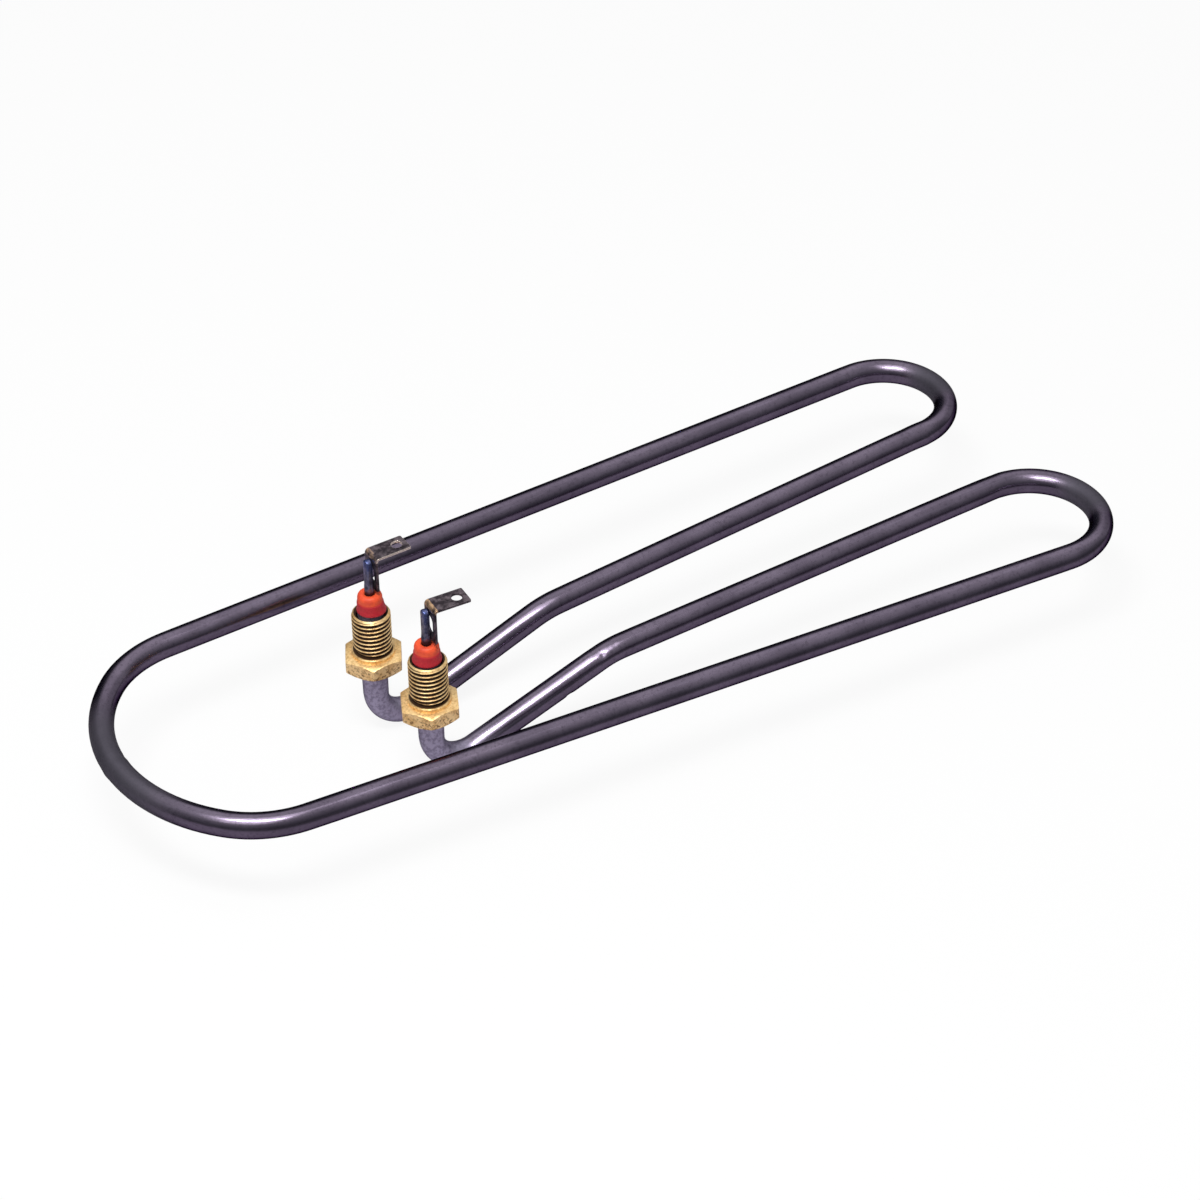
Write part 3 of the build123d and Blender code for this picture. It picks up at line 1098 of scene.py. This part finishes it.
def powder_finish():
    f = Finish("pressed_powder")
    grains = f.noise(f.where(), 0.25, 3)
    colour = f.mix(f.ramp(grains, 0.35, 0.7), tone(226, 222, 212), tone(204, 198, 186))
    return f.coat(Base_Color=colour, Roughness=0.85 + grains * 0.1, Normal=f.bump(grains, 0.05))


def wire_finish():
    f = Finish("wound_wire")
    place = f.where()
    clouds = f.noise(place, 2.0, 3)
    wave_values = {"Vector": place, "Scale": turns_scale}
    waves = f.node("TexWave", wave_values, out="Fac", bands_direction="X")
    colour = f.mix(f.ramp(waves, 0.3, 0.7), tone(70, 68, 66), tone(142, 138, 132))
    rough = 0.35 + clouds * 0.2
    return f.coat(Base_Color=colour, Metallic=0.9, Roughness=rough, Normal=f.bump(waves, 0.1))


def plug_finish():
    f = Finish("sealing_plug")
    clouds = f.noise(f.where(), 1.2, 3)
    colour = f.mix(clouds, tone(206, 196, 178), tone(178, 166, 146))
    return f.coat(Base_Color=colour, Roughness=0.5 + clouds * 0.2, Normal=f.bump(clouds, 0.03))


hidden = {
    "magnesia_fill": powder_finish(),
    "resistance_coil": wire_finish(),
    "moisture_plug_far": plug_finish(),
}
hidden["magnesia_core"] = hidden["magnesia_fill"]
hidden["moisture_plug_near"] = hidden["moisture_plug_far"]
for node, material in hidden.items():
    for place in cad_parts[node].material_slots:
        place.material = material
print("finished hidden solids:", sorted(hidden))

# %% [markdown]
# ## Floor and daylight
# The photo was cut out on white. A floor that glows white to the camera gives that ground, and a
# share of plain matt surface in it keeps the object's soft shadow. The metal mirrors another
# floor: a lilac grey patch round the loop that darkens with distance, which draws the dark line
# that metal shows where it mirrors a horizon.

# %% Floor
floor_level = cad_box[0].z / MM
floor_half = 3000.0
floor_glow = 0.9  # share of the floor that is plain white to the camera
pale_half_width = 0.10  # metres, half the width of the pale ground
dark_half_width = 0.19
loop_middle = 0.07
loop_slimness = 0.32  # distances along X count this much, which makes the patch long
floor_mirrored = (0.46, 0.42, 0.5, 1)  # the ground near the loop, as metal shows it
floor_mirrored_far = (0.05, 0.05, 0.06, 1)
floor_pale, floor_grey = (0.82, 0.82, 0.82, 1), (0.78, 0.78, 0.78, 1)
grit_size = 30  # millimetres
grit_share = 0.05


def floor_finish():
    f = Finish("studio_floor")
    place = f.where()
    camera_ray, glossy_ray, glass_ray = f.rays()
    seen = camera_ray + glossy_ray + glass_ray
    moved = {"Location": (-loop_middle * loop_slimness, 0, 0), "Scale": (loop_slimness, 1, 0)}
    patch = f.node("Mapping", {"Vector": place, **moved})
    away = f.node("VectorMath", {0: patch}, out="Value", operation="LENGTH")
    far_off = f.ramp(away, pale_half_width, dark_half_width)
    grit = f.noise(place, grit_size, 2)
    mirrored = f.mix(far_off, floor_mirrored, floor_mirrored_far)
    glow_colour = f.mix(glossy_ray, tone(255, 255, 255), mirrored)
    matt_colour = f.mix(grit * grit_share, floor_pale, floor_grey)
    matt = f.node("BsdfDiffuse", {"Color": matt_colour})
    glow = f.node("Emission", {"Color": glow_colour, "Strength": 1.0})
    return f.surface(f.node("MixShader", {0: seen * floor_glow, 1: matt, 2: glow}))


corners = [(-1, -1), (1, -1), (1, 1), (-1, 1)]
floor_mesh = bpy.data.meshes.new("studio_floor")
floor_points = [(x * floor_half * MM, y * floor_half * MM, floor_level * MM) for x, y in corners]
floor_mesh.from_pydata(floor_points, [], [(0, 1, 2, 3)])
floor = add_object("studio_floor", floor_mesh)
floor_mesh.materials.append(floor_finish())
print("floor at", round(floor_level, 2), "mm")

# %% [markdown]
# ## What the metal mirrors
# A tube this smooth is drawn by what it mirrors, so the sky is made for its reflections: beyond
# the loop a dark wall with a soft upper edge, lifted to a grey on the right, and on the camera's
# side a sky that is dim at the horizon and brighter overhead. The camera itself sees plain white,
# and matt surfaces get a weak, even light.

# %% Sky
world = bpy.data.worlds.new("studio")
world.use_nodes = True
bpy.context.scene.world = world
sky_glossy = 1.0
sky_diffuse = 0.3
beyond_loop = (0.49, 0.87, 0)  # level direction over the loop
wall_dark = 0.05  # brightness of the dark wall beyond the loop
wall_top = (0.50, 0.66)  # height of its soft upper edge, as a sine
wall_lift = 0.55  # how much of the wall's darkness is taken away on the right
lift_from, lift_to = 0.45, 0.65  # where that starts and ends along X
near_dark = 0.12  # brightness at the horizon on the camera's side
near_rise = 0.7  # how much brighter it gets overhead
near_curve = 1.5
over_from, over_to = 0.1, 0.45  # where the camera's side gives way to the wall
dark_tint = (0, 0.01, 0.02)  # a cool cast that only shows in the dark parts
sky = Finish("studio_sky", world.node_tree)
camera_ray, glossy_ray, glass_ray = sky.rays()
sky_seen = camera_ray + glossy_ray + glass_ray
sky_direction = sky.node("TexCoord", out="Generated")
sky_height = sky.along("Z", sky_direction)
both_ways = {0: sky_direction, 1: beyond_loop}
beyond = sky.node("VectorMath", both_ways, out="Value", operation="DOT_PRODUCT")
near_side = near_dark + near_rise * sky_height.maths("MAXIMUM", sky_height, 0) ** near_curve
far_side = wall_dark + (1 - wall_dark) * sky.ramp(sky_height, *wall_top)
to_right = sky.along("X", sky_direction)
lifted = sky.ramp(to_right, lift_from, lift_to)
far_side = far_side + lifted * (wall_lift - wall_lift * far_side)
over = sky.ramp(beyond, over_from, over_to)
mirrored_sky = near_side + over * (far_side - near_side)
sky_share = 1 - glossy_ray * (1 - mirrored_sky)
sky_parts = {at: sky_share + cast for at, cast in enumerate(dark_tint)}
sky_colour = sky.node("CombineColor", sky_parts)
strength = sky_diffuse + sky_seen * (sky_glossy - sky_diffuse)
sky_light = sky.node("Background", {"Color": sky_colour, "Strength": strength})
sky.node("OutputWorld", {"Surface": sky_light})
print("sky has", len(sky.tree.nodes), "nodes")

# %% [markdown]
# ## Lamps
# Two lamps stand in one line, high on the camera's side: a small bright one and a broad soft one
# behind it. The tube shows them as a white streak with soft sides on its bends and on the slopes
# down to the elbows, and only as a faint glow on the long legs.

# %% Key and broad lamps
lamp_direction = (-0.29, -0.25, 0.92)
lamp_target = Vector((70, 0, 0))
lamps = {  # distance, width and height in millimetres, and power in watts
    "key_lamp": (1240, 560, 200, 10.0),
    "broad_lamp": (1250, 800, 1250, 6.5),
}
for name, (distance, width, height, power) in lamps.items():
    data = bpy.data.lights.new(name, "AREA")
    data.shape = "RECTANGLE"
    data.size = width * MM
    data.size_y = height * MM
    data.energy = power
    lamp = add_object(name, data)
    aim = Vector(lamp_direction).normalized()
    lamp.location = (lamp_target + aim * distance) * MM
    lamp.rotation_mode = "QUATERNION"
    lamp.rotation_quaternion = aim.to_track_quat("Z", "Y")
    print(name, "stands at", [round(v, 2) for v in lamp.location], "with", power, "W")

# %% View
bpy.context.scene.view_settings.view_transform = "Standard"
